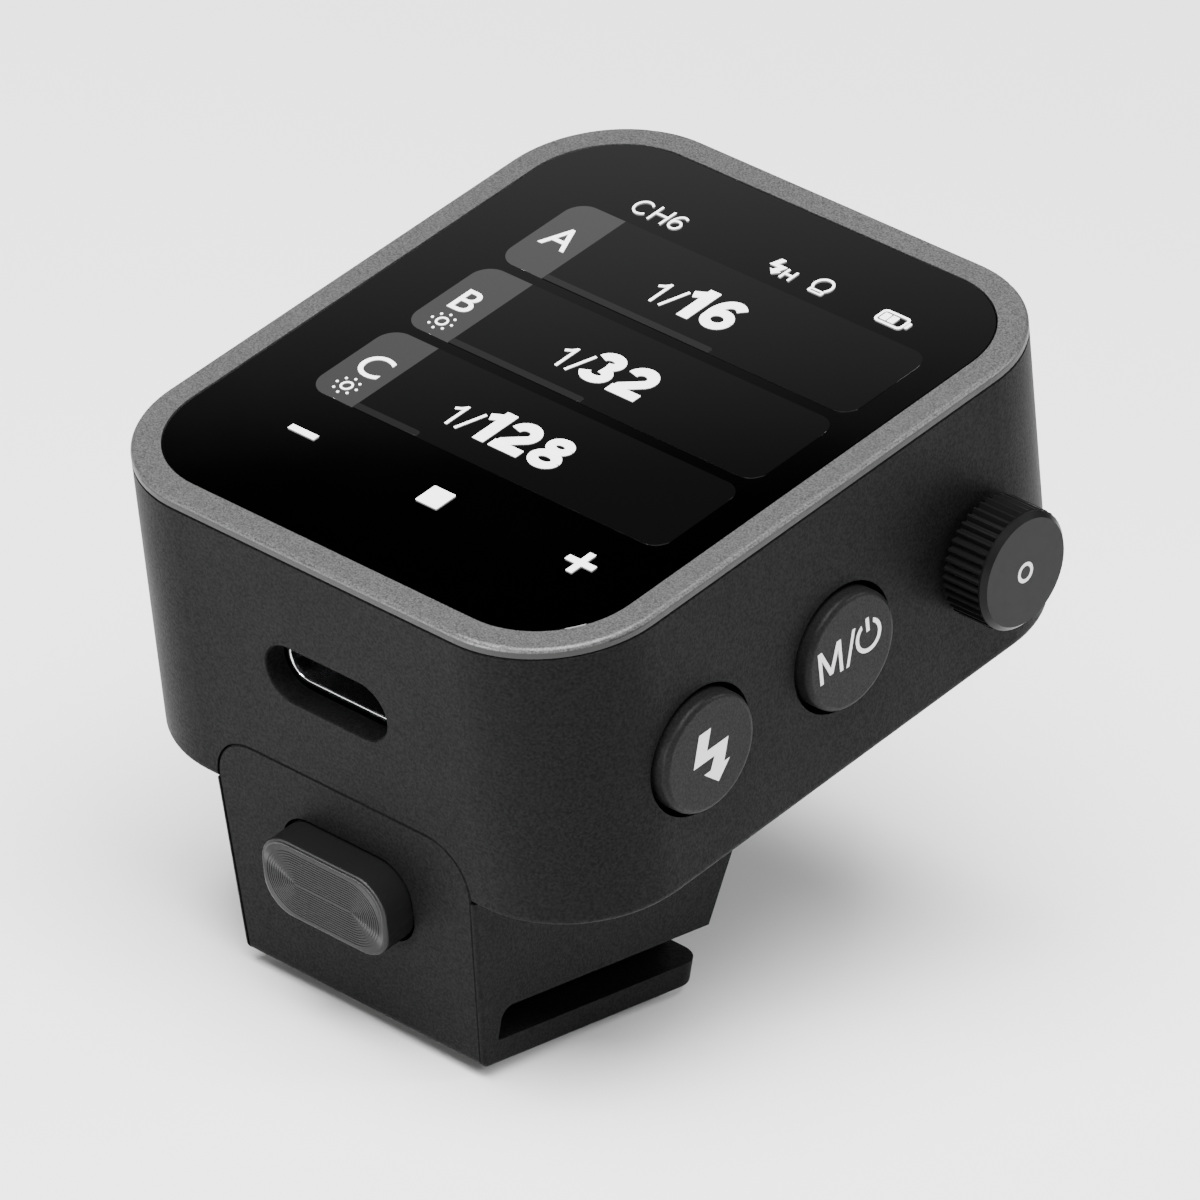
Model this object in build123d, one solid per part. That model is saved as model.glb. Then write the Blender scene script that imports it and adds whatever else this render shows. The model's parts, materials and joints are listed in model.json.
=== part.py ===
from build123d import *
import os
from math import cos, sin, tan, radians

# Wireless flash trigger. Millimetres, +Z up.
# Origin: centre of the hot-shoe foot's sole. +Y points to the front (the side that enters the
# camera's shoe), -Y to the photographer, +X to the side with the two keys and the dial.
# The case is a box tilted about X so that its screen faces the photographer. Its own frame has
# its origin at the centre of the screen face, with local y up the screen and local z out of it,
# so a depth below the screen face is a negative local z.

# ---- case ----
TILT = 15.8                      # angle between screen face and sole
CASE_ORIGIN = (0.0, 3.44, 35.62)
CASE_W, CASE_L, CASE_T = 36.9, 43.8, 19.0
CORNER_R = 7.7
WALL, FLOOR = 1.5, 1.5
BEZEL_T = 0.6                    # visible height of the bezel on the side
PARTING = 0.06                   # groove between bezel and shell
WINDOW_W, WINDOW_L, WINDOW_R = 33.5, 40.3, 6.0
GLASS_GAP, GLASS_T = 0.06, 0.7
REBATE = 0.4                     # shell wall is thinner where the bezel skirt sits
REBATE_D = 2.2
USB_W, USB_H, USB_R, USB_D = 9.3, 3.8, 1.899, 8.72      # mouth in the rear wall and its depth

# ---- hot-shoe foot (ISO 518 sizes) ----
FOOT_W, PLATE_T = 18.6, 1.6      # plate width at mid-length on its upper edge, plate thickness
FOOT_REAR, FOOT_FRONT = -9.25, 9.2
PLATE_R, SOLE_R, REAR_R = 1.6, 0.25, 0.25    # front corners, sole edges, rear upright edges
HEEL_R = 0.6                     # rounding between the sole and the rear face
NECK_W, SLOT_H, SLOT_END = 12.4, 2.1, -8.45
SLOT_TOP_R, SLOT_LOW_R = 0.8, 0.2            # rounding at the closed end of the slots
DRAFT, TAPER = 3.05, 0.9         # side faces lean outwards going up and close in towards the front
FRONT_LEAN = 13.25
NECK_FRONT = 9.1                 # where the leaning front face starts, above the slots
COVER_T, TAB_T = 1.1, 0.7        # rear cover, and its thinner tab on the case
COVER_INSET = 0.3                # the block shows as a thin lip on both sides of the cover
TAB_TOP, TAB_R = 15.55, 3.0      # depth of the tab's upper edge below the screen face

# ---- controls on the +X side ----
KEY_D, DIAL_D = 10.7, 10.95      # depth of the key and dial axes
FLASH_Y, MODE_Y, DIAL_Y = -11.5, 0.2, 11.84
KEY_R, KEY_HOLE_R, KEY_PROUD = 3.64, 4.0, 0.72
KEY_EDGE_R = 0.35
DIAL_R, DIAL_PROUD, DIAL_TEETH = 3.65, 3.4, 40
TOOTH_H, DIAL_HOLE_R = 0.26, 2.45
DIAL_GAP = 0.42                  # the dial stands off the wall so that it can be pressed 0.3 mm
CAP_T, CAP_CHAMFER = 0.42, 0.3
MARK_R, MARK_BORE, MARK_DEEP = 0.65, 0.40, 0.05      # ring recess in the dial's cap

# ---- release and lock ----
REL_W, REL_H, REL_R, REL_D = 9.6, 5.35, 2.1, 21.72
REL_GAP = 0.2                    # clearance between the key and its hole
REL_PROUD, REL_EDGE_R = 2.1, 0.28
RING_PITCH, RING_CUT, RING_DEEP, RINGS = 0.17, 0.06, 0.03, 13      # turned rings on its face
PIN_Y, PIN_R, PIN_PROUD = 6.4, 1.2, 0.9
LIFT = 0.8                       # pin lift per millimetre of button travel

# ---- contacts: (x, y, tip radius) ----
CONTACTS = {
    "contact_centre": (0.0, 0.0, 1.1),
    "contact_rear_left": (-1.9, -5.5, 0.55),
    "contact_rear_right": (1.9, -5.5, 0.55),
    "contact_side_left": (-3.4, -2.9, 0.55),
    "contact_side_right": (3.4, -2.9, 0.55),
}
CONTACT_PROUD = 0.25

ct, st = cos(radians(TILT)), sin(radians(TILT))
CASE = Location(Plane(origin=CASE_ORIGIN, x_dir=(1, 0, 0), z_dir=(0, -st, ct)))
HALF_W, HALF_L = CASE_W / 2, CASE_L / 2
parts = {}


def box(x0, x1, y0, y1, z0, z1):
    return Pos((x0 + x1) / 2, (y0 + y1) / 2, (z0 + z1) / 2) * Box(x1 - x0, y1 - y0, z1 - z0)


def slab(w, l, r, top, bottom, x=0.0, y=0.0):
    """Rounded rectangular prism between two depths below the screen face."""
    return extrude(Pos(x, y, -bottom) * RectangleRounded(w, l, r), bottom - top)


def rod(r, z0, z1, x=0.0, y=0.0):
    return extrude(Pos(x, y, z0) * Circle(r), z1 - z0)


def rod_x(r, x0, x1, y, depth):
    """Round bar along X at a case position."""
    return extrude(Plane(origin=(x0, y, -depth), z_dir=(1, 0, 0)) * Circle(r), x1 - x0)


def across(sketch, y0, y1):
    """Extrude an (x, z) outline from y0 to y1."""
    return extrude(Plane(origin=(0, y0, 0), x_dir=(1, 0, 0), z_dir=(0, -1, 0)) * sketch, y0 - y1)


def side(points, x0, x1):
    """Extrude a (y, z) polygon from x0 to x1."""
    face = make_face(Polyline([(0, y, z) for y, z in points], close=True).edges())
    return extrude(Pos(x0, 0, 0) * face, x1 - x0, dir=(1, 0, 0))


def outline(w, h, r, depth, y0, y1, x=0.0):
    """Rounded rectangle on the case's rear wall, extruded along the case's y."""
    return across(Pos(x, -depth) * RectangleRounded(w, h, r), y0, y1)


def placed(shape):
    """From the case's frame to the part's frame."""
    return CASE * shape


def height(y_case, depth):
    return CASE_ORIGIN[2] + st * y_case - ct * depth


def rear_y(y_case, depth):
    return CASE_ORIGIN[1] + ct * y_case + st * depth


def half_width(y, z):
    """Half-width of the foot at a place along it and a height above the sole."""
    return FOOT_W / 2 - y * tan(radians(TAPER)) + (z - PLATE_T) * tan(radians(DRAFT))


# ================= case =================
ring = slab(CASE_W, CASE_L, CORNER_R, 0, BEZEL_T)
ring = fillet(ring.edges().group_by(Axis.Z)[-1], 0.3)
ring -= slab(WINDOW_W, WINDOW_L, WINDOW_R, -1, BEZEL_T)
skirt_w, skirt_l = CASE_W - 2 * (WALL - REBATE) - 0.1, CASE_L - 2 * (WALL - REBATE) - 0.1
skirt_r = CORNER_R - WALL + REBATE - 0.05
skirt = slab(skirt_w, skirt_l, skirt_r, BEZEL_T, 2.0) - slab(WINDOW_W, WINDOW_L, WINDOW_R, 0, 0.78)
skirt -= slab(31.9, 38.7, 5.2, 0, 3)
parts["bezel_frame"] = placed(ring + skirt)

glass = slab(WINDOW_W - 2 * GLASS_GAP, WINDOW_L - 2 * GLASS_GAP, WINDOW_R - GLASS_GAP,
             0.03, 0.03 + GLASS_T)
parts["touch_glass"] = placed(chamfer(glass.edges().group_by(Axis.Z)[-1], 0.06))
parts["display_panel"] = placed(slab(31.0, 37.8, 4.0, 0.80, 2.0) - box(-5.2, 5.2, 18.6, 19, -2, 0))
parts["optical_adhesive"] = placed(slab(30.6, 37.0, 3.8, 0.74, 0.79))

shell = slab(CASE_W, CASE_L, CORNER_R, BEZEL_T + PARTING, CASE_T)
shell = fillet(shell.edges().group_by(Axis.Z)[0], 0.5)
shell = chamfer(shell.edges().group_by(Axis.Z)[-1], 0.12)
shell -= slab(CASE_W - 2 * WALL, CASE_L - 2 * WALL, CORNER_R - WALL, 0, CASE_T - FLOOR)
shell -= slab(CASE_W - 2 * (WALL - REBATE), CASE_L - 2 * (WALL - REBATE), CORNER_R - WALL + REBATE,
              0, REBATE_D)
BOSS = [(x, y) for x in (-13.8, 13.8) for y in (-17.2, 17.2)]
STANDOFF = [(x, y) for x in (-8.0, 8.0) for y in (-16.0, 16.0)]
FOOT_SCREW = [(x, y) for x in (-7.4, 7.4) for y in (-12.0, -2.0)]
inside = slab(CASE_W - WALL, CASE_L - WALL, CORNER_R - WALL / 2, 0, CASE_T - FLOOR / 2)
for x, y in BOSS:
    shell += rod(1.8, -CASE_T + 0.7, -2.98, x, y) & inside
for x, y in STANDOFF:
    shell += rod(1.6, -CASE_T + 0.7, -11.32, x, y)
for x, y in BOSS:
    shell -= rod(0.62, -15, 0, x, y)
for x, y in STANDOFF:
    shell -= rod(0.52, -16.5, 0, x, y)
for x, y in FOOT_SCREW:
    shell -= rod(0.85, -CASE_T - 1, 0, x, y)
shell -= outline(USB_W, USB_H, USB_R, USB_D, -HALF_L - 1, -HALF_L + WALL + 0.5)
mouth = RectangleRounded(USB_W + 0.14, USB_H + 0.14, USB_R + 0.061)
rear_plane = Plane(origin=(0, -HALF_L, -USB_D), x_dir=(1, 0, 0), z_dir=(0, 1, 0))
shell -= extrude(rear_plane * mouth, 0.1, taper=45)
for y in (FLASH_Y, MODE_Y):
    shell -= rod_x(KEY_HOLE_R, 15, 25, y, KEY_D)
shell -= rod_x(DIAL_HOLE_R, 15, 25, DIAL_Y, DIAL_D)


def cover_sketch(grow):
    """Outline of the rear cover in case x and z, with its upper corners rounded."""
    top, low = TAB_TOP - grow, 33.0
    a, b = [half_width(rear_y(-HALF_L, d), height(-HALF_L, d)) - COVER_INSET + grow for d in (top, low)]
    face = make_face(Polyline([(-a, -top), (a, -top), (b, -low), (-b, -low)], close=True).edges())
    return fillet(face.vertices().group_by(Axis.Y)[-1], TAB_R + grow)


shell -= across(cover_sketch(0.09), -HALF_L - 1, -HALF_L + TAB_T + 0.05)
shell -= box(-5.6, 5.6, -21.3, -19.2, -CASE_T - 1, -CASE_T + 0.5)     # room for the release key
shell -= box(3.0, 6.0, -9.4, -6.4, -CASE_T - 1, -CASE_T + 3)          # slot for the contact cable
parts["main_shell"] = placed(shell)

chassis = slab(33.7, 40.6, 6.1, 2.05, 2.9) - box(-5.7, 5.7, 18.55, 21, -4, 0)
chassis -= slab(9, 12, 1.5, 0, 5, -8, -4) + slab(9, 12, 1.5, 0, 5, 8, -4)
for x, y in BOSS:
    chassis -= rod(0.85, -5, 0, x, y) + extrude(Pos(x, y, -2.05) * Circle(1.45), -0.45)
parts["display_chassis"] = placed(chassis)
parts["chassis_screws"] = placed(Compound([
    rod(1.3, -2.5, -2.08, x, y) + rod(0.6, -9, -2.5, x, y) - rod(0.45, -2.3, 0, x, y)
    for x, y in BOSS]))

# ---- electronics ----
pcb = slab(27.7, 38.9, 5.0, 10.3, 11.3, -2.15, -0.45)
for x, y in BOSS[:2]:
    pcb -= rod(2.1, -12, -10, x, y)
for x, y in STANDOFF:
    pcb -= rod(0.75, -12, -10, x, y)
parts["main_board"] = placed(pcb)
parts["board_screws"] = placed(Compound([
    rod(1.15, -10.3, -9.75, x, y) + rod(0.5, -15.8, -10.3, x, y) - rod(0.4, -10.0, 0, x, y)
    for x, y in STANDOFF]))
cell = slab(22.6, 26.6, 1.2, 3.12, 8.9, 0, 5)
parts["battery_cell"] = placed(fillet(cell.edges().group_by(Axis.Z)[0]
                                      + cell.edges().group_by(Axis.Z)[-1], 0.8))
parts["battery_pad"] = placed(slab(18, 20, 1.0, 2.92, 3.10, 0, 8.5))
plug = box(-15.4, -12.3, 9.0, 14.0, -10.3, -8.2) - box(-14.8, -12.9, 9.5, 13.5, -9.4, -8)
parts["battery_connector"] = placed(plug)
parts["processor"] = placed(slab(7, 7, 0.3, 9.4, 10.28, -3, 1))
can = slab(13, 14, 0.6, 11.32, 13.4, -7.5, 3)
can -= slab(12.6, 13.6, 0.4, 11, 13.2, -7.5, 3)
for x in (-10.5, -7.5, -4.5):
    can -= rod(0.5, -14, -13, x, 6) + rod(0.5, -14, -13, x, 0)
parts["radio_shield"] = placed(can)
parts["antenna"] = placed(box(-15.6, -14.2, -7, 7, -10.28, -9.4))
sounder = rod(4.1, -14.2, -11.32, 3.5, 9.0) - rod(0.9, -15, -13.4, 3.5, 9.0)
rims = sounder.edges().filter_by(GeomType.CIRCLE).sort_by(SortBy.RADIUS)[-2:]
parts["sounder"] = placed(fillet(rims, 0.3))
cable = box(-5, 5, 18.96, 19.12, -10.28, -0.95) + box(-5, 5, 17.3, 19.12, -10.28, -10.12)
parts["display_cable"] = placed(cable)

# USB-C receptacle, 8.94 x 3.16 mm outside
usb_y = -HALF_L + WALL + 0.02
can = outline(8.94, 3.16, 1.579, USB_D, usb_y, usb_y + 7.35)
can -= outline(8.34, 2.56, 1.279, USB_D, usb_y - 1, usb_y + 7.05)
can = fillet(can.edges().group_by(Axis.Y)[0], 0.1)
parts["usb_shell"] = placed(can)
tongue = outline(6.7, 0.7, 0.2, USB_D, usb_y + 0.75, usb_y + 6.0)
tongue += outline(8.28, 2.5, 1.2, USB_D, usb_y + 5.2, usb_y + 7.0)
parts["usb_tongue"] = placed(tongue)

# ---- keys and dial ----
BOARD_X = 11.9
parts["side_board"] = placed(box(BOARD_X, BOARD_X + 0.8, -15.0, 15.0, -15.0, -6.4))
for name, y in (("flash", FLASH_Y), ("mode", MODE_Y)):
    switch = box(12.72, 13.9, y - 2.2, y + 2.2, -KEY_D - 2.2, -KEY_D + 2.2)
    switch += rod_x(1.0, 13.9, 14.65, y, KEY_D)
    parts[name + "_switch"] = placed(switch)
    key = rod_x(KEY_R, 16.4, HALF_W + KEY_PROUD, y, KEY_D)
    key = fillet(key.edges().group_by(Axis.X)[-1], KEY_EDGE_R)
    key += rod_x(4.45, 15.8, 16.55, y, KEY_D) + rod_x(1.3, 15.3, 15.9, y, KEY_D)
    parts[name + "_button"] = placed(key)

dial_x0, dial_x1 = HALF_W + DIAL_GAP, HALF_W + DIAL_PROUD
TOOTH = ((DIAL_R, 0.0), (DIAL_R, 0.2), (DIAL_R - TOOTH_H, 0.55), (DIAL_R - TOOTH_H, 0.7))
points = []
for i in range(DIAL_TEETH):
    for r, share in TOOTH:
        angle = radians(360 * (i + share) / DIAL_TEETH)
        points.append((r * cos(angle), r * sin(angle)))
gear = make_face(Polyline(points, close=True).edges())
axis_plane = Plane(origin=(dial_x0, DIAL_Y, -DIAL_D), z_dir=(1, 0, 0))
knob = extrude(axis_plane * gear, dial_x1 - CAP_T - dial_x0)
knob += rod_x(2.0, 16.6, dial_x0 + 0.5, DIAL_Y, DIAL_D)
knob -= rod_x(1.27, 16, 20.2, DIAL_Y, DIAL_D)
parts["dial_knob"] = placed(knob)
cap = rod_x(DIAL_R - 0.06, dial_x1 - CAP_T, dial_x1, DIAL_Y, DIAL_D)
cap = chamfer(cap.edges().group_by(Axis.X)[-1], CAP_CHAMFER)
cap -= (rod_x(MARK_R, dial_x1 - MARK_DEEP, dial_x1 + 1, DIAL_Y, DIAL_D)
        - rod_x(MARK_BORE, dial_x1 - 1, dial_x1 + 2, DIAL_Y, DIAL_D))
parts["dial_cap"] = placed(cap)
parts["encoder_shaft"] = placed(rod_x(1.25, 13.55, 20.15, DIAL_Y, DIAL_D))
parts["encoder_plunger"] = placed(rod_x(1.25, 13.16, 13.5, DIAL_Y, DIAL_D))
body = box(12.72, 14.9, DIAL_Y - 3.1, DIAL_Y + 3.1, -DIAL_D - 3.1, -DIAL_D + 3.1)
body -= rod_x(1.34, 12.74, 20, DIAL_Y, DIAL_D)
parts["encoder_body"] = placed(body)
parts["encoder_bushing"] = placed(rod_x(2.6, 14.92, 15.9, DIAL_Y, DIAL_D)
                                  - rod_x(1.32, 14, 20, DIAL_Y, DIAL_D))

# ================= foot =================
lean = tan(radians(TILT))
front = tan(radians(FRONT_LEAN))
slot_top = PLATE_T + SLOT_H
TALL = 30                        # reaches past the case's underside before it is trimmed to it
JOIN_Y = 3.0                     # the plate is joined to the body of the foot here


def below_case(depth=CASE_T):
    """Half-space under the case's underside."""
    return placed(box(-40, 40, -60, 60, -depth - 60, -depth))


def trimmed(shape):
    """Cuts a shape to the foot's two leaning side faces."""
    for s in (-1, 1):
        face = Plane(origin=(s * FOOT_W / 2, 0, PLATE_T),
                     z_dir=(s, tan(radians(TAPER)), -tan(radians(DRAFT))))
        shape = split(shape, bisect_by=face, keep=Keep.BOTTOM)
    return shape


def upright(face):
    """The two edges of an end face that do not run along X."""
    return [edge for edge in face.edges() if abs(edge.tangent_at(0.5).X) < 0.5]


def leans_rearward(edge):
    """Whether an edge lies on the rear face, the heel or the sole, and not across the foot."""
    return edge.center().Y < FOOT_REAR + 1 or (edge.center().Z < 0.01 and edge.length > SLOT_H)


body = side([(FOOT_REAR, 0), (FOOT_REAR - TALL * lean, TALL),
             (NECK_FRONT + (TALL - slot_top) * front, TALL), (NECK_FRONT, slot_top),
             (JOIN_Y, slot_top), (JOIN_Y, 0)], -15, 15)
heel = body.edges().filter_by(Axis.X).group_by(Axis.Z)[0].sort_by(Axis.Y)[0]
body = trimmed(fillet(heel, HEEL_R))
sides = body.faces().sort_by(Axis.X)[0].edges() + body.faces().sort_by(Axis.X)[-1].edges()
body = fillet([edge for edge in sides if leans_rearward(edge)], REAR_R)
plate = trimmed(box(-15, 15, JOIN_Y - 0.1, FOOT_FRONT, 0, slot_top))
plate = fillet(upright(plate.faces().sort_by(Axis.Y)[-1]), PLATE_R)
sole_edges = plate.edges().group_by(Axis.Z)[0]
plate = fillet([edge for edge in sole_edges if edge.center().Y > JOIN_Y], SOLE_R)
block = (body + plate) & below_case()
block -= placed(across(cover_sketch(0.04), -HALF_L - 5, -HALF_L + COVER_T + 0.01))
for s in (-1, 1):
    lo, hi = sorted((s * NECK_W / 2, s * 20))
    slot = box(lo, hi, SLOT_END, 20, PLATE_T, slot_top)
    rear_end = slot.edges().filter_by(Axis.X).group_by(Axis.Y)[0].sort_by(Axis.Z)
    slot = fillet(rear_end[-1], SLOT_TOP_R)
    low_edges = slot.edges().filter_by(Axis.X).group_by(Axis.Z)[0].sort_by(Axis.Y)
    block -= fillet(low_edges[0], SLOT_LOW_R)
cavity = side([(-30, 5.0), (8.5, 5.0), (8.5, 10.4), (9.9, 10.4), (9.9, 40), (-30, 40)], -5.9, 5.9)
cavity &= below_case(CASE_T - 2)
posts = box(4.2, 6.5, 4.3, 9, 4, 9.48) + box(-6.5, -4.2, 4.3, 9, 4, 9.48)
block -= cavity - posts
block -= box(-4.8, 4.8, -7.3, 2.3, -1, 6)
block -= rod(PIN_R + 0.06, -1, 6, 0, PIN_Y)
for x in (-5.05, 5.05):
    block -= rod(0.35, 6, 12, x, PIN_Y)
for x, y in FOOT_SCREW:
    block -= placed(rod(0.65, -CASE_T - 5.2, -CASE_T + 1, x, y))
PEGS = [(x, d) for x in (-7.5, 7.5) for d in (21.5, 27.5)]
for x, d in PEGS:
    block -= placed(across(Pos(x, -d) * Circle(0.72), -HALF_L, -HALF_L + COVER_T + 1.5))
parts["foot_block"] = block

cover = across(cover_sketch(0), -HALF_L, -HALF_L + COVER_T)
cover = chamfer(cover.edges().group_by(Axis.Y)[0], 0.1)
cover -= box(-15, 15, -HALF_L + TAB_T, -HALF_L + 3, -CASE_T - 0.05, 0)
cover -= outline(REL_W + 2 * REL_GAP, REL_H + 2 * REL_GAP, REL_R + REL_GAP, REL_D, -HALF_L - 1, -HALF_L + 3)
for x, d in PEGS:
    cover += across(Pos(x, -d) * Circle(0.68), -HALF_L + COVER_T - 0.2, -HALF_L + COVER_T + 1.4)
cover = placed(cover) & box(-20, 20, -30, 10, 0.02, 40)
lower_edge = cover.edges().filter_by(Axis.X).group_by(Axis.Z)[0].sort_by(Axis.Y)[0]
parts["foot_rear_cover"] = fillet(lower_edge, HEEL_R)

parts["foot_screws"] = placed(Compound([
    rod(1.55, -CASE_T + FLOOR, -CASE_T + FLOOR + 1.1, x, y) + rod(0.62, -CASE_T - 5, -CASE_T + FLOOR, x, y)
    - rod(0.6, -CASE_T + FLOOR + 0.6, 0, x, y) for x, y in FOOT_SCREW]))

# ---- release key, slider and lock pin ----
face_y = -HALF_L - REL_PROUD
key = outline(REL_W, REL_H, REL_R, REL_D, face_y, -HALF_L + 0.45)
key = fillet(key.edges().group_by(Axis.Y)[0], REL_EDGE_R)
straight = REL_W - REL_H
for i in range(1, RINGS + 1):
    r = i * RING_PITCH
    key -= (outline(straight + 2 * r, 2 * r, 0.98 * r, REL_D, face_y - 1, face_y + RING_DEEP)
            - outline(straight + 2 * (r - RING_CUT), 2 * (r - RING_CUT), 0.98 * (r - RING_CUT),
                      REL_D, face_y - 2, face_y + 1))
key += outline(8.6, 4.0, 1.5, REL_D, -HALF_L + 0.4, -HALF_L + 1.4)
key += outline(11.2, 4.9, 1.0, 21.85, -HALF_L + 1.3, -HALF_L + 2.0)
parts["release_button"] = placed(key)

BAR_TOP, BAR_LOW = 23.0, 24.2    # depths of the slider's bar
RAMP_Z = 12.9                    # height of the ramp on the pin's axis
cam = placed(box(-2.6, 2.6, -HALF_L + 2.0, -2.0, -BAR_LOW, -BAR_TOP)
             + box(-4.0, 4.0, -HALF_L + 2.0, -HALF_L + 2.8, -BAR_LOW, -20.0))
hill = box(-2.6, 2.6, 3.0, 7.8, 10.5, 14.0) & placed(box(-9, 9, -20, 20, -BAR_LOW, 0))
slope = (LIFT - st) / ct         # ramp that turns travel along the case's y into lift


def above_ramp(gap):
    """Space over the ramp, a gap below its plane."""
    z = [RAMP_Z - gap - slope * (y - PIN_Y) for y in (-2, 20)]
    return side([(-2, z[0]), (20, z[1]), (20, 60), (-2, 60)], -9, 9)


cam = (cam + hill) - above_ramp(0.04) - box(-1.5, 1.5, 3.8, 20, 5, 20)
parts["release_slider"] = cam

pin = rod(PIN_R, -PIN_PROUD, 13.0, 0, PIN_Y)
pin = chamfer(pin.edges().group_by(Axis.Z)[0], 0.3)
pin += rod(2.0, 5.05, 5.9, 0, PIN_Y)
pin += box(-2.4, 2.4, 5.1, 7.7, 11, 14.3) & above_ramp(0)
parts["lock_pin"] = pin
keeper = box(-5.8, 5.8, 4.4, 8.4, 9.5, 10.2) - rod(PIN_R + 0.1, 9, 11, 0, PIN_Y)
for x in (-5.05, 5.05):
    keeper -= rod(0.45, 9, 11, x, PIN_Y)
parts["spring_keeper"] = keeper
parts["keeper_screws"] = Compound([rod(0.7, 10.2, 10.6, x, PIN_Y) + rod(0.34, 7, 10.2, x, PIN_Y)
                                   for x in (-5.05, 5.05)])


def coil(radius, wire, z0, z1, turns, x, y):
    """Compression spring between two heights, wire centre line half a wire inside each end."""
    h = z1 - z0 - 2 * wire
    path = Pos(x, y, z0 + wire) * Helix(h / turns, h, radius)
    start = Plane(origin=path @ 0, z_dir=path % 0)
    return sweep(start * Circle(wire / 2), path)


parts["lock_spring"] = coil(1.62, 0.26, 5.9, 9.5, 5, 0, PIN_Y)

# ---- contacts ----
carrier = box(-4.7, 4.7, -7.2, 2.2, 0.0, 4.58)
for x, y, r in CONTACTS.values():
    carrier -= rod(r + 0.06, -1, 2, x, y) + rod(r + 0.42, 1.2, 5, x, y)
parts["contact_carrier"] = carrier
parts["contact_board"] = box(-4.6, 4.6, -7.1, 2.1, 4.6, 5.3)
for name, (x, y, r) in CONTACTS.items():
    pin = fillet(rod(r, -CONTACT_PROUD, 1.6, x, y).edges().group_by(Axis.Z)[0], 0.2)
    parts[name] = pin + rod(r + 0.32, 1.25, 2.0, x, y)
    parts[name + "_spring"] = coil(r + 0.1, 0.16, 2.0, 4.58, 5, x, y)

y_cable = 0.9
cable = side([(y_cable, 5.32), (y_cable + 0.15, 5.32), (y_cable + 0.15, 30), (y_cable, 30)], 3.4, 5.6)
cable = cable & placed(box(-20, 20, -30, 30, -60, -12.4))
parts["contact_cable"] = cable
parts["cable_connector"] = placed(box(2.9, 6.1, -7.2, -5.0, -12.38, -11.32))

os.makedirs("parts", exist_ok=True)
for name, shape in parts.items():
    export_step(shape, f"parts/{name}.step")
print(len(parts), "nodes")
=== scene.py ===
import json
import math

import bmesh
import bpy
from mathutils import Matrix, Vector

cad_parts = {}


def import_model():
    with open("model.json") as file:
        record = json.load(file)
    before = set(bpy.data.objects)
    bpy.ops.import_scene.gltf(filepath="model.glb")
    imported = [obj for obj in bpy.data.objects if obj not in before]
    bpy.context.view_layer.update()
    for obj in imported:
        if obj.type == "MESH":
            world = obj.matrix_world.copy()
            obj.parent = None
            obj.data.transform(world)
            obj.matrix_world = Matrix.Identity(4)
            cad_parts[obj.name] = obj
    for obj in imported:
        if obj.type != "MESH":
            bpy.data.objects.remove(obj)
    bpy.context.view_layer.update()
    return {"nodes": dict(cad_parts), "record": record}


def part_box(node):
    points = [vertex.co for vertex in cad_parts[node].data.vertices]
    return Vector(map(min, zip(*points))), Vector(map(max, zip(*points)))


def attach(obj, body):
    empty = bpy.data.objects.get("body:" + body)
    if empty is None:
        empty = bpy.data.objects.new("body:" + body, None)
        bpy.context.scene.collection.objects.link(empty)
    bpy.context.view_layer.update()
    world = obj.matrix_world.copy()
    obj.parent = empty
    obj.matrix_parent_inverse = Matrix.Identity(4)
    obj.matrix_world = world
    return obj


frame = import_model()

MM = 0.001
TILT = math.radians(15.8)
CASE_ORIGIN = Vector((0.0, 3.44, 35.62)) * MM
CASE_L = 43.8
# The case's own frame, in millimetres: x across, y up the screen, z out of the screen.
CASE = Matrix.Translation(CASE_ORIGIN) @ Matrix.Rotation(TILT, 4, "X") @ Matrix.Scale(MM, 4)


# ---------------------------------------------------------------- materials
def node(tree, kind, **values):
    """A new node; keywords set its properties, and those with in_ its input sockets."""
    made = tree.nodes.new(kind)
    for name, value in values.items():
        if name.startswith("in_"):
            made.inputs[name[3:].replace("_", " ")].default_value = value
        else:
            setattr(made, name, value)
    return made


def start(name, color, rough, metallic=0.0, specular=0.5):
    """A Principled material, with its tree, shader and object coordinates."""
    mat = bpy.data.materials.new(name)
    mat.use_nodes = True
    tree = mat.node_tree
    shader = tree.nodes["Principled BSDF"]
    shader.inputs["Base Color"].default_value = (*color, 1)
    shader.inputs["Roughness"].default_value = rough
    shader.inputs["Metallic"].default_value = metallic
    shader.inputs["Specular IOR Level"].default_value = specular
    shader.inputs["IOR"].default_value = 1.5
    where = node(tree, "ShaderNodeTexCoord")
    return mat, tree, shader, where.outputs["Object"]


def noise(tree, where, per_mm, detail=2.0, rough=0.5):
    """Noise with so many grains per millimetre."""
    made = node(tree, "ShaderNodeTexNoise", in_Scale=per_mm / MM, in_Detail=detail, in_Roughness=rough)
    tree.links.new(where, made.inputs["Vector"])
    return made.outputs["Fac"]


def ramp(tree, value, low, high, start_at=0.0, stop_at=1.0):
    """Goes from low to high while the value goes from start_at to stop_at."""
    made = node(tree, "ShaderNodeMapRange")
    for socket, number in zip(("From Min", "From Max", "To Min", "To Max"), (start_at, stop_at, low, high)):
        made.inputs[socket].default_value = number
    tree.links.new(value, made.inputs["Value"])
    return made.outputs["Result"]


def tint(tree, shader, value, dark, light, start_at=0.3, stop_at=0.7):
    """Base colour between two tones, driven by a value."""
    mix = node(tree, "ShaderNodeMix", data_type="RGBA")
    mix.inputs["A"].default_value = (*dark, 1)
    mix.inputs["B"].default_value = (*light, 1)
    tree.links.new(ramp(tree, value, 0, 1, start_at, stop_at), mix.inputs["Factor"])
    tree.links.new(mix.outputs["Result"], shader.inputs["Base Color"])


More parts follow.
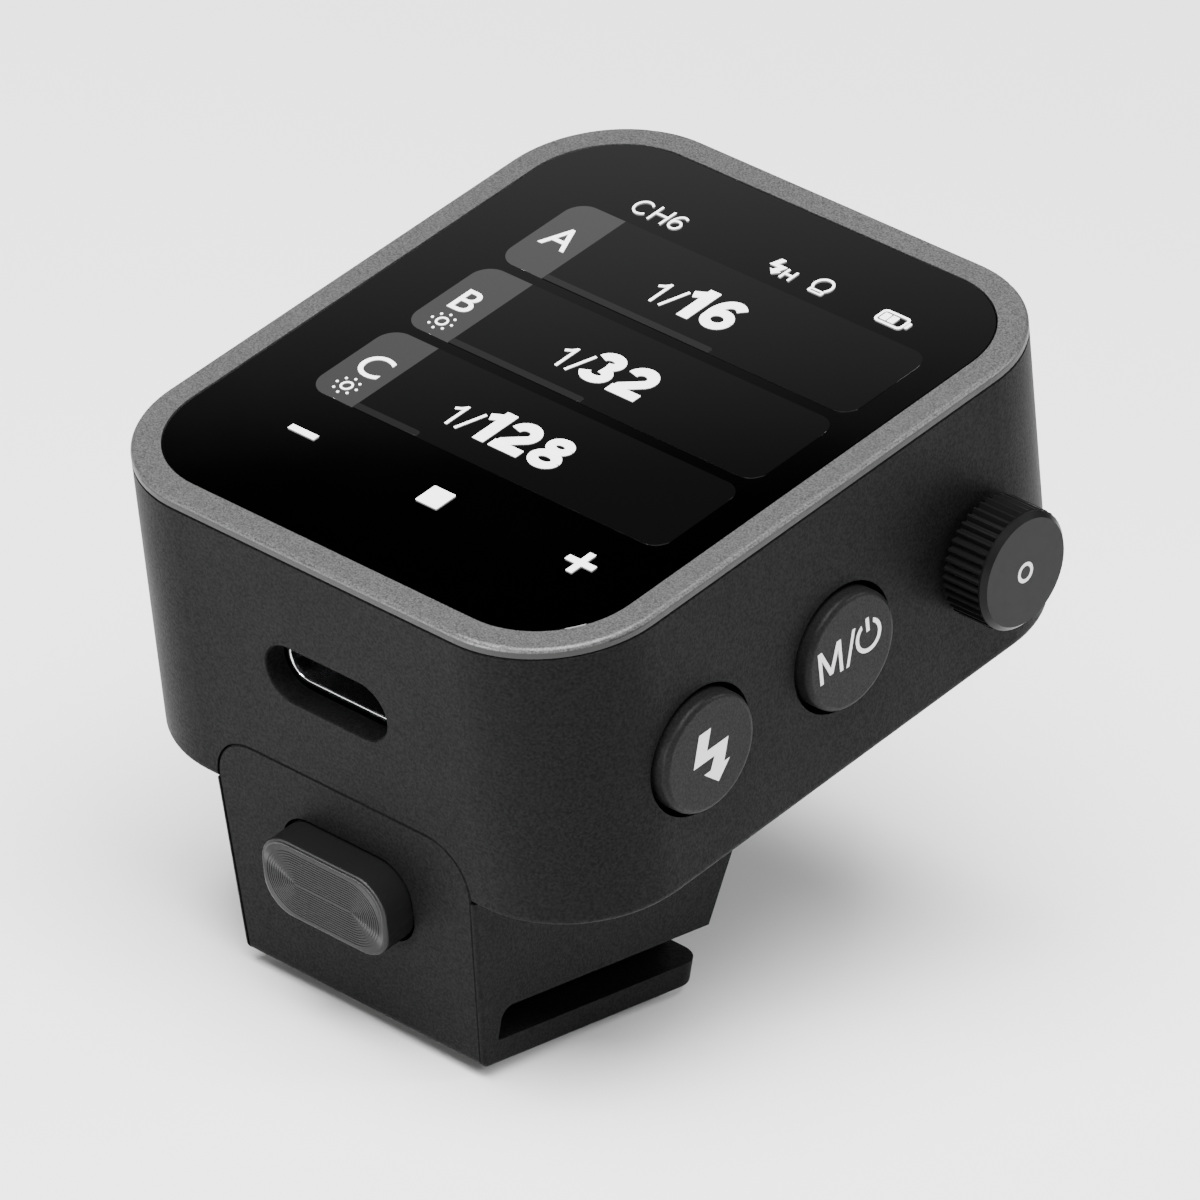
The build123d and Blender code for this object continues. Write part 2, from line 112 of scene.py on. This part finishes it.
def bump(tree, shader, value, strength, depth_mm):
    made = node(tree, "ShaderNodeBump", in_Strength=strength, in_Distance=depth_mm * MM)
    tree.links.new(value, made.inputs["Height"])
    tree.links.new(made.outputs["Normal"], shader.inputs["Normal"])


def moulded(name, color, rough=0.5, specular=0.2, grain=6.0, depth=0.012, strength=0.35, spread=0.25):
    """Spark-eroded plastic: fine grain in height, tone and sheen, slow change in roughness."""
    mat, tree, shader, where = start(name, color, rough, 0.0, specular)
    fine = noise(tree, where, grain, 3.0, 0.6)
    broad = noise(tree, where, 0.12, 2.0)
    tint(tree, shader, fine, [c * (1 - spread) for c in color], [c * (1 + spread) for c in color])
    tree.links.new(ramp(tree, fine, specular * (1 - spread), specular * (1 + spread), 0.38, 0.62),
                   shader.inputs["Specular IOR Level"])
    tree.links.new(ramp(tree, broad, rough - 0.03, rough + 0.03, 0.3, 0.7), shader.inputs["Roughness"])
    bump(tree, shader, fine, strength, depth)
    return mat


def metal(name, color, rough=0.3, stretch=(1, 1, 1), grain=3.0, depth=0.003, metallic=1.0, specular=0.5):
    """Drawn or machined metal with fine lines across the stretched axis."""
    mat, tree, shader, where = start(name, color, rough, metallic, specular)
    place = node(tree, "ShaderNodeMapping")
    place.inputs["Scale"].default_value = stretch
    tree.links.new(where, place.inputs["Vector"])
    lines = noise(tree, place.outputs["Vector"], grain, 3.0, 0.6)
    tree.links.new(ramp(tree, lines, rough - 0.06, rough + 0.08, 0.3, 0.7), shader.inputs["Roughness"])
    bump(tree, shader, lines, 0.3, depth)
    return mat


def glow(name, color, strength):
    """A lit area of the display."""
    mat, tree, shader, where = start(name, (0.0, 0.0, 0.0), 0.06)
    pixels = noise(tree, where, 12.0, 1.0)
    shader.inputs["Emission Strength"].default_value = strength
    mix = node(tree, "ShaderNodeMix", data_type="RGBA")
    mix.inputs["A"].default_value = (*[c * 0.96 for c in color], 1)
    mix.inputs["B"].default_value = (*color, 1)
    tree.links.new(ramp(tree, pixels, 0, 1, 0.4, 0.6), mix.inputs["Factor"])
    tree.links.new(mix.outputs["Result"], shader.inputs["Emission Color"])
    return mat


def ink(name, color):
    """Printed marking."""
    mat, tree, shader, where = start(name, color, 0.5)
    fine = noise(tree, where, 8.0, 2.0)
    tint(tree, shader, fine, [c * 0.94 for c in color], color)
    bump(tree, shader, fine, 0.2, 0.004)
    return mat


def glass_black():
    """Polished glass over black, with faint smears in its gloss."""
    mat, tree, shader, where = start("glass_black", (0.0001, 0.0001, 0.0001), 0.06)
    smear = noise(tree, where, 0.05, 3.0, 0.6)
    tree.links.new(ramp(tree, smear, 0.04, 0.09, 0.3, 0.7), shader.inputs["Roughness"])
    return mat


def board_green():
    """Solder mask with lighter tracks between its fields."""
    mask, track = (0.004, 0.016, 0.010), (0.010, 0.036, 0.022)
    mat, tree, shader, where = start("board_green", mask, 0.4)
    cells = node(tree, "ShaderNodeTexVoronoi", in_Scale=0.8 / MM, feature="DISTANCE_TO_EDGE")
    tree.links.new(where, cells.inputs["Vector"])
    tint(tree, shader, cells.outputs["Distance"], track, mask, 0.02, 0.12)
    bump(tree, shader, cells.outputs["Distance"], 0.2, 0.01)
    return mat


def case_axes(tree, where, origin):
    """Splits a position into case x, y and z, in metres, from a case point in millimetres."""
    shift = node(tree, "ShaderNodeVectorMath", operation="SUBTRACT")
    shift.inputs[1].default_value = CASE @ Vector(origin)
    tree.links.new(where, shift.inputs[0])
    level = node(tree, "ShaderNodeVectorRotate", rotation_type="X_AXIS", in_Angle=-TILT)
    tree.links.new(shift.outputs["Vector"], level.inputs["Vector"])
    split = node(tree, "ShaderNodeSeparateXYZ")
    tree.links.new(level.outputs["Vector"], split.inputs["Vector"])
    return split.outputs


def calc(tree, operation, a, b):
    """One maths step on two sockets or numbers."""
    made = node(tree, "ShaderNodeMath", operation=operation)
    for socket, value in zip(made.inputs, (a, b)):
        if isinstance(value, (int, float)):
            socket.default_value = value
        else:
            tree.links.new(value, socket)
    return made.outputs["Value"]


def bezel_satin():
    """Sand-blasted band: tiny bright grains on the top face; the narrow side strip gets painted shade, a
    plain dark colour standing in for the lesser light that falls on it.
    """
    # Painted shade: the side strip's base colour, darker than the top face because less light falls on the
    # side.
    side_painted_shade_tone = 0.006
    mat, tree, shader, where = start("bezel_satin", (0.05, 0.05, 0.05), 0.45, 0.35)
    fine = noise(tree, where, 9.0, 2.0, 0.7)
    depth = case_axes(tree, where, (0, 0, 0))["Z"]
    # 1 on the top face, 0 on the side strip, which gets the painted shade.
    top = ramp(tree, depth, 0.0, 1.0, -0.27 * MM, -0.17 * MM)
    grains = ramp(tree, fine, 0.026, 0.084, 0.36, 0.64)
    extra = calc(tree, "MULTIPLY", calc(tree, "SUBTRACT", grains, side_painted_shade_tone), top)
    tone = calc(tree, "ADD", extra, side_painted_shade_tone)
    grey = node(tree, "ShaderNodeCombineColor")
    for name in ("Red", "Green", "Blue"):
        tree.links.new(tone, grey.inputs[name])
    tree.links.new(grey.outputs["Color"], shader.inputs["Base Color"])
    coarse = noise(tree, where, 3.0, 2.0, 0.6)
    tree.links.new(ramp(tree, coarse, 0.40, 0.50, 0.3, 0.7), shader.inputs["Roughness"])
    bump(tree, shader, fine, 0.5, 0.02)
    return mat


RELEASE_D, RELEASE_STRAIGHT = 21.72, 4.24        # depth of the key's middle, length of its straight part


def release_metal():
    """Dark satin metal whose sheen follows the turned racetrack rings of the key's face."""
    mat, tree, shader, where = start("release_metal", (0.024, 0.024, 0.0245), 0.45, 0.75, 0.2)
    axes = case_axes(tree, where, (0, -CASE_L / 2, -RELEASE_D))
    straight = RELEASE_STRAIGHT / 2 * MM
    inner = calc(tree, "MAXIMUM", calc(tree, "MINIMUM", axes["X"], straight), -straight)
    past = calc(tree, "SUBTRACT", axes["X"], inner)
    along = node(tree, "ShaderNodeCombineXYZ")
    tree.links.new(calc(tree, "MULTIPLY", axes["Z"], -1.0), along.inputs["X"])
    tree.links.new(past, along.inputs["Z"])
    back = node(tree, "ShaderNodeVectorRotate", rotation_type="X_AXIS", in_Angle=TILT)
    tree.links.new(along.outputs["Vector"], back.inputs["Vector"])
    unit = node(tree, "ShaderNodeVectorMath", operation="NORMALIZE")
    tree.links.new(back.outputs["Vector"], unit.inputs[0])
    tree.links.new(unit.outputs["Vector"], shader.inputs["Tangent"])
    shader.inputs["Anisotropic"].default_value = 0.95
    fine = noise(tree, where, 5.0, 2.0)
    tree.links.new(ramp(tree, fine, 0.41, 0.49, 0.3, 0.7), shader.inputs["Roughness"])
    bump(tree, shader, fine, 0.15, 0.004)
    return mat


def foil():
    """Creased pouch of the cell."""
    mat, tree, shader, where = start("cell_foil", (0.5, 0.51, 0.53), 0.32, 0.9)
    folds = noise(tree, where, 0.5, 3.0)
    bump(tree, shader, folds, 0.4, 0.08)
    tree.links.new(ramp(tree, folds, 0.25, 0.4), shader.inputs["Roughness"])
    return mat


CASE_GRAIN = dict(rough=0.48, specular=0.034, grain=6.0, depth=0.02, spread=0.3)

MATERIALS = {
    "bezel": bezel_satin(),
    "shell": moulded("shell_plastic", (0.0042, 0.0042, 0.0043), strength=0.7, **CASE_GRAIN),
    "foot": moulded("foot_plastic", (0.0055, 0.0055, 0.0056), strength=0.6, **CASE_GRAIN),
    "cover": moulded("cover_plastic", (0.0042, 0.0042, 0.0043), strength=0.7, **CASE_GRAIN),
    "glass": glass_black(),
    "display": moulded("display_dark", (0.01, 0.01, 0.011), 0.2, 0.2, 2.0, 0.002, 0.1),
    "adhesive": moulded("adhesive_film", (0.5, 0.5, 0.52), 0.15, 0.5, 1.0, 0.002, 0.1),
    "keys": moulded("key_plastic", (0.0065, 0.0065, 0.0066), 0.42, 0.05, 7.0, 0.012, 0.5),
    "dial": metal("dial_black", (0.006, 0.006, 0.0062), 0.36, (8, 1, 1), 2.0, metallic=0.3, specular=0.06),
    "release": release_metal(),
    "slider": moulded("slider_plastic", (0.02, 0.02, 0.021), 0.45, 0.2),
    "chassis": metal("chassis_cast", (0.62, 0.62, 0.63), 0.42, grain=1.2, depth=0.02),
    "board": board_green(),
    "steel": metal("steel_bare", (0.55, 0.55, 0.56), 0.28, (1, 1, 6)),
    "dark_screw": metal("steel_black", (0.03, 0.03, 0.031), 0.35, (1, 1, 6), metallic=0.8),
    "usb_metal": metal("port_steel", (0.72, 0.72, 0.74), 0.16, (1, 6, 1), 2.0, 0.002),
    "black_resin": moulded("resin_black", (0.006, 0.006, 0.0062), 0.38, 0.15, 4.0, 0.006),
    "gold": metal("contact_gold", (0.83, 0.62, 0.24), 0.2, (1, 1, 3), 2.0, 0.002),
    "spring": metal("spring_wire", (0.6, 0.6, 0.6), 0.25),
    "cell": foil(),
    "pad": moulded("foam_black", (0.02, 0.02, 0.02), 0.85, 0.1, 3.0, 0.05, 0.6),
    "cable": moulded("film_amber", (0.40, 0.17, 0.02), 0.25, 0.5, 1.0, 0.004, 0.15),
    "ceramic": moulded("fired_ceramic", (0.7, 0.68, 0.62), 0.5, 0.4, 2.0, 0.01),
}
WHITE_GLOW = glow("lit_white", (1.0, 1.0, 1.0), 4.6)
TAB_GLOW = glow("lit_grey", (0.095, 0.095, 0.095), 1.0)
PANEL_GLOW = glow("lit_dark", (0.0075, 0.0075, 0.0075), 1.0)
BAR_GLOW = glow("lit_bar", (0.030, 0.030, 0.030), 1.0)
WHITE_INK = ink("ink_white", (0.55, 0.55, 0.55))

slot_of = {row["node"]: row["material_slot"] for row in frame["record"]["subparts"]}
for name, obj in frame["nodes"].items():
    obj.data.materials.clear()
    obj.data.materials.append(MATERIALS[slot_of[name]])


# ---------------------------------------------------------------- pieces
WELD = 0.0005


def to_object(name, bm, material):
    """Puts a finished bmesh into the scene as an object with one material."""
    mesh = bpy.data.meshes.new(name)
    bm.to_mesh(mesh)
    bm.free()
    mesh.materials.append(material)
    made = bpy.data.objects.new(name, mesh)
    bpy.context.collection.objects.link(made)
    return made


def placed(name, bm, place, material):
    """Moves a flat drawing in millimetres to its place on the part."""
    bm.transform(place)
    bmesh.ops.recalc_face_normals(bm, faces=bm.faces)
    return to_object(name, bm, material)


def from_curve(name, curve, place, material, body):
    """Turns filled outlines or text into a mesh piece that rides on a body."""
    obj = bpy.data.objects.new(name, curve)
    bpy.context.collection.objects.link(obj)
    bpy.context.view_layer.update()
    mesh = bpy.data.meshes.new_from_object(obj.evaluated_get(bpy.context.evaluated_depsgraph_get()))
    bm = bmesh.new()
    bm.from_mesh(mesh)
    bpy.data.objects.remove(obj)
    bpy.data.curves.remove(curve)
    bpy.data.meshes.remove(mesh)
    bmesh.ops.remove_doubles(bm, verts=bm.verts, dist=WELD)
    made = placed(name, bm, place, material)
    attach(made, body)


def flat_piece(name, loops, depth, place, material, body):
    """Thin plate from closed 2-D outlines; an outline inside another is a hole."""
    curve = bpy.data.curves.new(name, "CURVE")
    curve.dimensions = "2D"
    curve.fill_mode = "BOTH"
    for points in loops:
        spline = curve.splines.new("POLY")
        spline.points.add(len(points) - 1)
        for target, (x, y) in zip(spline.points, points):
            target.co = (x, y, 0, 1)
        spline.use_cyclic_u = True
    curve.extrude = depth / 2
    from_curve(name, curve, place, material, body)


# ---------------------------------------------------------------- outlines
def ellipse(cx, cy, rx, ry, a0, a1, steps=16):
    angles = [math.radians(a0 + (a1 - a0) * i / steps) for i in range(steps + 1)]
    return [(cx + rx * math.cos(angle), cy + ry * math.sin(angle)) for angle in angles]


def arc(cx, cy, r, a0, a1, steps=12):
    return ellipse(cx, cy, r, r, a0, a1, steps)


def circle(cx, cy, r, steps=48):
    return arc(cx, cy, r, 0, 360 * (steps - 1) / steps, steps - 1)


def rounded(x0, y0, x1, y1, radii):
    """Rectangle with its own radius at each corner: lower left, lower right, upper right, upper left."""
    points = []
    corners = ((x0, y0, 1, 1, 180), (x1, y0, -1, 1, 270), (x1, y1, -1, -1, 0), (x0, y1, 1, -1, 90))
    for (x, y, sx, sy, a), r in zip(corners, radii):
        if r > 0:
            points += arc(x + sx * r, y + sy * r, r, a, a + 90)
        else:
            points.append((x, y))
    return points


def both_sides(points, width):
    """Points to the left and to the right of a line, half a width from it."""
    half = width / 2
    pairs = []
    for i, (x, y) in enumerate(points):
        ax, ay = points[max(i - 1, 0)]
        bx, by = points[min(i + 1, len(points) - 1)]
        length = math.hypot(bx - ax, by - ay)
        nx, ny = (ay - by) / length * half, (bx - ax) / length * half
        pairs.append(((x + nx, y + ny), (x - nx, y - ny)))
    return pairs


def bolt(cx, cy, size):
    """Zigzag flash with an arrow tip, about size wide and 1.33 size high."""
    shape = [(-0.28, 0.66), (0.05, 0.66), (-0.12, 0.2), (0.5, 0.2), (0.32, -0.3), (0.48, -0.3),
             (0.12, -0.66), (-0.25, -0.3), (-0.06, -0.3), (0.08, -0.02), (-0.52, -0.02)]
    return [(cx + x * size, cy + y * size) for x, y in shape]


# ---------------------------------------------------------------- display
# The lit image is drawn in thin sheets just over the glass: 0 panels, 1 bars, 2 signs.
GLASS_TOP, SHEET, LIFT = -0.03, 0.02, 0.004
LIGHT_STROKE = 0.095                             # of the height of a thin sign
CAP = 0.73                                       # cap height of the built-in face at size 1


def sheet(level, x=0.0, y=0.0):
    """Place of a drawing in the middle of a sheet."""
    return CASE @ Matrix.Translation((x, y, GLASS_TOP + level * SHEET + SHEET / 2 + LIFT))


def lit(name, loops, material, level=2):
    flat_piece("screen_" + name, loops, SHEET, sheet(level), material, "housing")


def text(name, words, x, y, height, weight):
    """Text with its left baseline at (x, y) and its capitals height high."""
    curve = bpy.data.curves.new(name, "FONT")
    curve.body = words
    curve.size = height / CAP
    curve.offset = weight
    curve.extrude = SHEET / 2
    from_curve("screen_" + name, curve, sheet(2, x, y), WHITE_GLOW, "housing")


def light(*paths):
    return [(path, LIGHT_STROKE) for path in paths]


# Signs as centre lines in a cell one unit high, each path with its stroke width; first the advance.
HEAVY = {
    "1": (0.66, [([(0.42, 0), (0.42, 1)], 0.27), ([(0.46, 0.90), (0.30, 0.80), (0.10, 0.70)], 0.19)]),
    "2": (0.84, [(ellipse(0.37, 0.67, 0.24, 0.21, 175, -35) + [(0.16, 0.22), (0.15, 0.12)], 0.24),
                 ([(0.02, 0.115), (0.74, 0.115)], 0.23)]),
    "3": (0.84, [(ellipse(0.36, 0.725, 0.22, 0.16, 172, -85), 0.23),
                 (ellipse(0.37, 0.29, 0.25, 0.175, 88, -170), 0.23)]),
    "6": (0.84, [(ellipse(0.38, 0.33, 0.25, 0.22, 0, 360, 28), 0.21),
                 (ellipse(0.43, 0.47, 0.30, 0.42, 195, 50), 0.22)]),
    "8": (0.84, [(ellipse(0.38, 0.74, 0.21, 0.155, 0, 360, 28), 0.20),
                 (ellipse(0.38, 0.29, 0.26, 0.185, 0, 360, 28), 0.21)]),
}
LIGHT = {
    "1": (0.78, light([(0.46, 0), (0.46, 1)], [(0.46, 0.95), (0.34, 0.82), (0.16, 0.73)])),
    "/": (0.40, light([(0.03, 0), (0.36, 1)])),
    "C": (1.00, light(ellipse(0.50, 0.50, 0.40, 0.44, 42, 318, 24))),
    "H": (1.00, light([(0.16, 0), (0.16, 1)], [(0.84, 0), (0.84, 1)], [(0.16, 0.52), (0.84, 0.52)])),
    "6": (0.78, light(ellipse(0.39, 0.32, 0.27, 0.26, 0, 360, 28), ellipse(0.44, 0.46, 0.33, 0.48, 190, 55))),
}


def ribbon(bm, points, width):
    """Adds a flat band of one width along a centre line, as a closed solid."""
    rings = []
    for one, two in both_sides(points, width):
        rings.append([bm.verts.new((x, y, z)) for (x, y), z in (
            (one, -SHEET / 2), (two, -SHEET / 2), (two, SHEET / 2), (one, SHEET / 2))])
    for one, two in zip(rings, rings[1:]):
        for i in range(4):
            bm.faces.new((one[i], one[(i + 1) % 4], two[(i + 1) % 4], two[i]))
    bm.faces.new(rings[0])
    bm.faces.new(rings[-1][::-1])


def signs(name, words, style, x, y, height):
    """Characters drawn from their centre lines, with the lower left corner at (x, y)."""
    bm = bmesh.new()
    for sign in words:
        advance, paths = style[sign]
        for path, width in paths:
            ribbon(bm, [(x + px * height, y + py * height) for px, py in path], width * height)
        x += advance * height
    made = placed("screen_" + name, bm, sheet(2), WHITE_GLOW)
    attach(made, "housing")


def modelling_lamp(letter, cx, cy):
    """Small sun under a group letter: a ring and eight dots around it."""
    ring, hole, reach, dot = 0.40, 0.28, 0.74, 0.085
    loops = [circle(cx, cy, ring), circle(cx, cy, hole)]
    for i in range(8):
        angle = math.radians(45 * i)
        loops.append(circle(cx + reach * math.cos(angle), cy + reach * math.sin(angle), dot, 12))
    lit("lamp_" + letter, loops, WHITE_GLOW)


TAB_LEFT, TAB_RIGHT, ROW_RIGHT, ROW_H = -12.25, -8.65, 14.6, 7.05
LETTER_X, LETTER_H, LETTER_WEIGHT, LAMP_X = -11.4, 2.15, 0.005, -10.35
ONE_H, VALUE_H = 1.95, 2.95                      # heights of "1/" and of the number after it


def group_row(letter, low, bar_end, value, value_x):
    """One group: letter tab, panel, level bar and its power as a fraction."""
    high = low + ROW_H
    lit("panel_" + letter, [rounded(TAB_RIGHT, low, ROW_RIGHT, high, (0, 1.2, 1.2, 0))], PANEL_GLOW, 0)
    lit("tab_" + letter, [rounded(TAB_LEFT, low, TAB_RIGHT, high, (1.3, 0, 0, 1.3))], TAB_GLOW, 0)
    lit("bar_" + letter, [rounded(TAB_RIGHT, low + 0.02, bar_end, low + 0.5, (0, 0.2, 0.2, 0))], BAR_GLOW, 1)
    text("letter_" + letter, letter, LETTER_X, low + 2.6, LETTER_H, LETTER_WEIGHT)
    if letter != "A":
        modelling_lamp(letter, LAMP_X, low + 1.32)
    signs("one_" + letter, "1/", LIGHT, value_x, low + 1.9, ONE_H)
    signs("value_" + letter, value, HEAVY, value_x + 2.2, low + 1.8, VALUE_H)


def touch_signs():
    """Minus, square and plus along the lower edge."""
    minus_x, plus_x, y = -9.2, 11.95, -12.88
    long, thin = 1.0, 0.22
    lit("minus", [rounded(minus_x - long, y - thin, minus_x + long, y + thin, (0,) * 4)], WHITE_GLOW)
    lit("lock", [rounded(0.4, -13.9, 2.0, -12.3, (0.05,) * 4)], WHITE_GLOW)
    corners = [(-long, -thin), (-thin, -thin), (-thin, -long), (thin, -long), (thin, -thin), (long, -thin),
               (long, thin), (thin, thin), (thin, long), (-thin, long), (-thin, thin), (-long, thin)]
    lit("plus", [[(plus_x + dx, y + dy) for dx, dy in corners]], WHITE_GLOW)


def battery_sign():
    case = rounded(9.35, 14.12, 11.35, 15.32, (0.3,) * 4)
    hollow = rounded(9.5, 14.27, 11.2, 15.17, (0.2,) * 4)
    lit("battery", [case, hollow], WHITE_GLOW)
    for i in range(2):
        x = 9.62 + 0.56 * i
        lit(f"battery_cell_{i}", [rounded(x, 14.4, x + 0.46, 15.04, (0.05,) * 4)], WHITE_GLOW)
    lit("battery_tip", [rounded(11.42, 14.45, 11.62, 15.0, (0, 0.08, 0.08, 0))], WHITE_GLOW)


def bulb_sign():
    x, y = 4.95, 14.93
    outer, inner = arc(x, y, 0.68, -45, 225, 32), arc(x, y, 0.53, -45, 225, 32)
    lit("bulb", [outer + inner[::-1]], WHITE_GLOW)
    base = rounded(4.42, 14.1, 5.48, 14.45, (0.1,) * 4)
    hollow = rounded(4.56, 14.2, 5.34, 14.34, (0.03,) * 4)
    lit("bulb_base", [base, hollow], WHITE_GLOW)


group_row("A", 6.15, 4.05, "16", -3.0)
group_row("B", -1.67, 1.45, "32", -3.0)
group_row("C", -9.48, -3.8, "128", -4.15)
signs("channel", "CH6", LIGHT, -9.45, 14.12, 1.4)
touch_signs()
lit("flash", [bolt(1.55, 14.85, 1.1)], WHITE_GLOW)
text("flash_h", "H", 2.15, 14.15, 0.95, 0.01)
battery_sign()
bulb_sign()


# ---------------------------------------------------------------- marks on the keys and dial
KEY_D, DIAL_D = 10.7, 10.95                      # depths below the screen face
FLASH_Y, MODE_Y, DIAL_Y = -11.5, 0.2, 11.84
MARK_T, KEY_SINK, DIAL_SINK = 0.016, -0.014, 0.012


def mark(name, loops, node_name, y, depth, body, sink):
    """Printed outline on the outer side of a control, sunk below its outermost point by so much."""
    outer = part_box(node_name)[1].x / MM - sink - MARK_T / 2
    turn = Matrix(((0, 0, 1, outer), (1, 0, 0, y), (0, 1, 0, -depth), (0, 0, 0, 1)))
    flat_piece("mark_" + name, loops, MARK_T, CASE @ turn, WHITE_INK, body)


def mode_mark(name, loops):
    mark(name, loops, "mode_button", MODE_Y, KEY_D, "mode_button", KEY_SINK)


mark("flash", [bolt(0.06, -0.2, 2.85)], "flash_button", FLASH_Y, KEY_D, "flash_button", KEY_SINK)
mode_mark("m", [[(-2.7, -0.75), (-2.7, 1.35), (-2.38, 1.35), (-1.75, -0.1), (-1.12, 1.35), (-0.8, 1.35),
                 (-0.8, -0.75), (-1.06, -0.75), (-1.06, 0.8), (-1.62, -0.5), (-1.88, -0.5), (-2.44, 0.8),
                 (-2.44, -0.75)]])
mode_mark("slash", [[(-0.55, -0.8), (-0.32, -0.8), (0.42, 1.4), (0.19, 1.4)]])
mode_mark("power_ring", [arc(1.42, 0.3, 1.06, 118, 422, 40) + arc(1.42, 0.3, 0.8, 124, 416, 40)[::-1]])
mode_mark("power_bar", [rounded(1.29, 0.6, 1.55, 1.5, (0,) * 4)])
mark("dial", [circle(0, 0, 0.645), circle(0, 0, 0.405)], "dial_cap", DIAL_Y, DIAL_D, "dial", DIAL_SINK)


# ---------------------------------------------------------------- stage
FLOOR_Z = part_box("lock_pin")[0].z
OBJECT_MIDDLE = Vector((0, 0, 0.02))


def floor():
    """Pale ground that the lock pin, the lowest piece, just touches."""
    mat, tree, shader, where = start("floor_pale", (0.86, 0.86, 0.86), 0.75, 0.0, 0.1)
    soft = node(tree, "ShaderNodeTexNoise", in_Scale=12.0)
    tree.links.new(where, soft.inputs["Vector"])
    tint(tree, shader, soft.outputs["Fac"], (0.85, 0.85, 0.85), (0.88, 0.88, 0.88))
    bm = bmesh.new()
    bmesh.ops.create_grid(bm, x_segments=8, y_segments=8, size=6.0)
    obj = to_object("floor", bm, mat)
    obj.location.z = FLOOR_Z


def lamp(name, place, size, power):
    """Square lamp aimed at the object."""
    data = bpy.data.lights.new(name, "AREA")
    data.size = size
    data.energy = power
    obj = bpy.data.objects.new(name, data)
    bpy.context.collection.objects.link(obj)
    obj.location = place
    obj.rotation_euler = (OBJECT_MIDDLE - Vector(place)).to_track_quat("-Z", "Y").to_euler()


def world():
    """Faint even light from all sides."""
    made = bpy.data.worlds.new("studio")
    made.use_nodes = True
    sky = made.node_tree.nodes["Background"]
    sky.inputs["Color"].default_value = (1, 1, 1, 1)
    sky.inputs["Strength"].default_value = 0.02
    bpy.context.scene.world = made


def camera():
    """Long lens from behind the key side, a little above, rolled with the picture."""
    data = bpy.data.cameras.new("camera")
    data.lens = 324.2
    data.sensor_width = 36.0
    data.clip_start, data.clip_end = 0.05, 50
    obj = bpy.data.objects.new("camera", data)
    azimuth, elevation, roll = math.radians(39.889), math.radians(24.119), math.radians(6.490)
    distance = 0.615665
    aim = Vector((-1.456, 9.063, 20.0)) * MM
    back = Vector((math.sin(azimuth) * math.cos(elevation), -math.cos(azimuth) * math.cos(elevation),
                   math.sin(elevation)))
    turn = (-back).to_track_quat("-Z", "Y").to_matrix().to_4x4() @ Matrix.Rotation(roll, 4, "Z")
    obj.matrix_world = Matrix.Translation(aim + back * distance) @ turn
    bpy.context.collection.objects.link(obj)
    bpy.context.scene.camera = obj


def softbox():
    """Panel mirrored in the upper half of the glass, its light fading out across the lower half.

    Only its mirror image counts, so it is not itself in any picture."""
    mat, tree, shader, where = start("softbox_cloth", (0, 0, 0), 1.0, 0.0, 0.0)
    split = node(tree, "ShaderNodeSeparateXYZ")
    tree.links.new(where, split.inputs["Vector"])
    fall = ramp(tree, split.outputs["Y"], 0.0, 1.0, -0.12, -0.07)
    shader.inputs["Emission Color"].default_value = (1, 1, 1, 1)
    tree.links.new(fall, shader.inputs["Emission Strength"])
    bm = bmesh.new()
    bmesh.ops.create_grid(bm, x_segments=4, y_segments=4, size=0.5)
    for corner in bm.verts:
        corner.co = Vector((corner.co.x * 0.5, corner.co.y * 0.3, 0))
    obj = to_object("softbox", bm, mat)
    away, fade = Vector((-0.585, 0.382, 0.715)), Vector((-0.347, 0.679, -0.647))
    turn = Matrix((away.cross(fade).normalized(), fade, away)).transposed().to_4x4()
    middle = Vector((0, 3.4, 35.6)) * MM + away * 0.4 + fade * 0.12
    obj.matrix_world = Matrix.Translation(middle) @ turn
    obj.visible_camera = False


floor()
world()
camera()
softbox()
lamp("overhead", (0.15, -0.25, 0.75), 0.7, 33)
lamp("rear_low", (-0.05, -0.32, 0.02), 0.05, 1.5)
lamp("front_right", (0.12, 0.11, 0.09), 0.04, 0.17)
